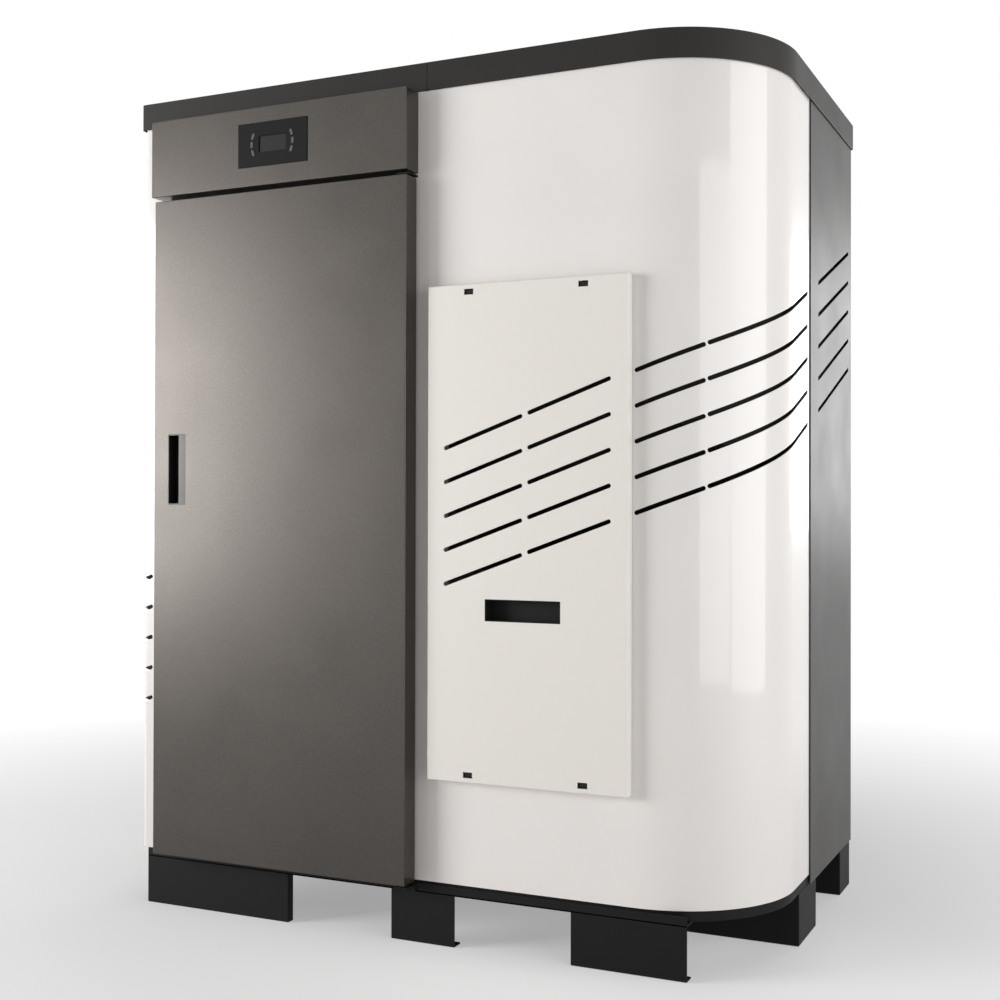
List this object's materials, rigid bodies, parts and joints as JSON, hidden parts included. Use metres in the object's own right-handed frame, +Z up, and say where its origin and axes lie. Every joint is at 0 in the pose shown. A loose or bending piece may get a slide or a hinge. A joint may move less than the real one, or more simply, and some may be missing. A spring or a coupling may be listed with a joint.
{
  "type": "pellet boiler",
  "caption": "Free-standing wood pellet boiler with a tall front door, a control fascia and a built-in fuel hopper behind a curved casing, on a base with fork pockets.",
  "frame": {"origin": "centre of the footprint at the floor, midway between the foremost button face and the end of the flue spigot", "axes": "+X to the right seen from the front, +Y from the front to the back, +Z up"},
  "size_m": [1.114, 0.7444, 1.4],
  "materials": {
    "base_black": "satin powder coat",
    "casing_white": "high gloss enamel",
    "casing_dark": "satin metallic powder coat",
    "lid_dark": "satin powder coat",
    "module_anthracite": "satin metallic powder coat",
    "panel_cream": "fine satin powder coat",
    "galvanised_sheet": "galvanised",
    "zinc_steel": "zinc plated",
    "dark_steel": "black oxide",
    "boiler_steel": "heat resistant paint",
    "cast_door": "cast, painted",
    "mineral_wool": "matt mineral wool",
    "seal_rubber": "matt",
    "plastic_black": "fine texture",
    "bezel_black": "semi gloss",
    "display_glass": "clear over a dark display",
    "board_green": "solder mask",
    "button_grey": "satin",
    "impeller_aluminium": "cast",
    "brass_fitting": "machined",
    "plastic_red": "satin"
  },
  "bodies": {
    "root": {"base_front_beam": "base_black", "base_middle_beam": "base_black", "base_rear_beam": "base_black", "base_deck": "base_black", "door_hinge_brackets": "base_black", "left_side_panel": "casing_white", "front_shell": "casing_white", "right_side_panel": "casing_dark", "rear_panel": "casing_dark", "front_frame": "casing_dark", "top_cover": "lid_dark", "control_fascia": "module_anthracite", "partition_wall": "galvanised_sheet", "pellet_hopper": "galvanised_sheet", "auger_housing": "galvanised_sheet", "drop_chute": "galvanised_sheet", "exhaust_fan_housing": "galvanised_sheet", "rear_panel_screws": "zinc_steel", "lid_hinge_pins": "zinc_steel", "lid_hinge_brackets": "dark_steel", "door_catch": "dark_steel", "auger_stand": "dark_steel", "burner_body": "dark_steel", "ash_drawer": "dark_steel", "boiler_body": "boiler_steel", "cleaning_cover": "boiler_steel", "turbulators": "boiler_steel", "fire_door": "cast_door", "boiler_insulation": "mineral_wool", "lid_seal": "seal_rubber", "service_panel_studs": "plastic_black", "power_entry": "plastic_black", "exhaust_motor": "plastic_black", "auger_motor": "plastic_black", "burner_fan_housing": "plastic_black", "display_bezel": "bezel_black", "display_window": "display_glass", "control_board": "board_green", "water_connections": "brass_fitting", "drain_valve": "brass_fitting"},
    "front_door": {"front_door": "module_anthracite", "door_liner": "galvanised_sheet", "door_insulation": "mineral_wool", "door_seal": "seal_rubber", "door_pull": "plastic_black"},
    "hopper_lid": {"hopper_lid": "lid_dark"},
    "service_panel": {"service_panel": "panel_cream", "service_panel_grip": "plastic_black"},
    "button_up": {"button_up": "button_grey"},
    "button_enter": {"button_enter": "button_grey"},
    "button_down": {"button_down": "button_grey"},
    "button_plus": {"button_plus": "button_grey"},
    "button_back": {"button_back": "button_grey"},
    "button_minus": {"button_minus": "button_grey"},
    "auger": {"auger_screw": "zinc_steel"},
    "exhaust_fan": {"exhaust_impeller": "impeller_aluminium"},
    "burner_fan": {"burner_impeller": "impeller_aluminium"},
    "fire_door_handle": {"fire_door_handle": "plastic_black"},
    "drain_lever": {"drain_lever": "plastic_red"},
    "power_rocker": {"power_rocker": "plastic_red"}
  },
  "joints": [
    {"name": "front_door_hinge", "type": "hinge", "parent": "root", "child": "front_door", "pos_m": [-0.014, -0.35125, 0.6], "axis": [0, 0, 1], "range_deg": [0, 100]},
    {"name": "hopper_lid_hinge", "type": "hinge", "parent": "root", "child": "hopper_lid", "pos_m": [0.283, 0.32325, 1.3585], "axis": [-1, 0, 0], "range_deg": [0, 80]},
    {"name": "service_panel_pull", "type": "slide", "parent": "root", "child": "service_panel", "axis": [0, -1, 0], "range_m": [0, 0.06]},
    {"name": "button_up_press", "type": "slide", "parent": "root", "child": "button_up", "axis": [0, 1, 0], "range_m": [0, 0.0012], "stiffness_N_per_m": 400},
    {"name": "button_enter_press", "type": "slide", "parent": "root", "child": "button_enter", "axis": [0, 1, 0], "range_m": [0, 0.0012], "stiffness_N_per_m": 400},
    {"name": "button_down_press", "type": "slide", "parent": "root", "child": "button_down", "axis": [0, 1, 0], "range_m": [0, 0.0012], "stiffness_N_per_m": 400},
    {"name": "button_plus_press", "type": "slide", "parent": "root", "child": "button_plus", "axis": [0, 1, 0], "range_m": [0, 0.0012], "stiffness_N_per_m": 400},
    {"name": "button_back_press", "type": "slide", "parent": "root", "child": "button_back", "axis": [0, 1, 0], "range_m": [0, 0.0012], "stiffness_N_per_m": 400},
    {"name": "button_minus_press", "type": "slide", "parent": "root", "child": "button_minus", "axis": [0, 1, 0], "range_m": [0, 0.0012], "stiffness_N_per_m": 400},
    {"name": "auger_turn", "type": "hinge", "parent": "root", "child": "auger", "pos_m": [0.233, -0.01275, 0.56], "axis": [1, 0, 0], "continuous": true},
    {"name": "exhaust_fan_turn", "type": "hinge", "parent": "root", "child": "exhaust_fan", "pos_m": [-0.282, 0.26725, 1.17], "axis": [0, 1, 0], "continuous": true},
    {"name": "burner_fan_turn", "type": "hinge", "parent": "root", "child": "burner_fan", "pos_m": [0.173, -0.01275, 0.4], "axis": [1, 0, 0], "continuous": true},
    {"name": "fire_door_handle_turn", "type": "hinge", "parent": "root", "child": "fire_door_handle", "pos_m": [-0.093, -0.29275, 0.432], "axis": [0, 1, 0], "range_deg": [0, 90]},
    {"name": "drain_lever_turn", "type": "hinge", "parent": "root", "child": "drain_lever", "pos_m": [-0.152, 0.33525, 0.18], "axis": [0, 0, -1], "range_deg": [0, 90]},
    {"name": "power_rocker_tilt", "type": "hinge", "parent": "root", "child": "power_rocker", "pos_m": [0.269, 0.31025, 0.763], "axis": [-1, 0, 0], "range_deg": [0, 14]}
  ]
}
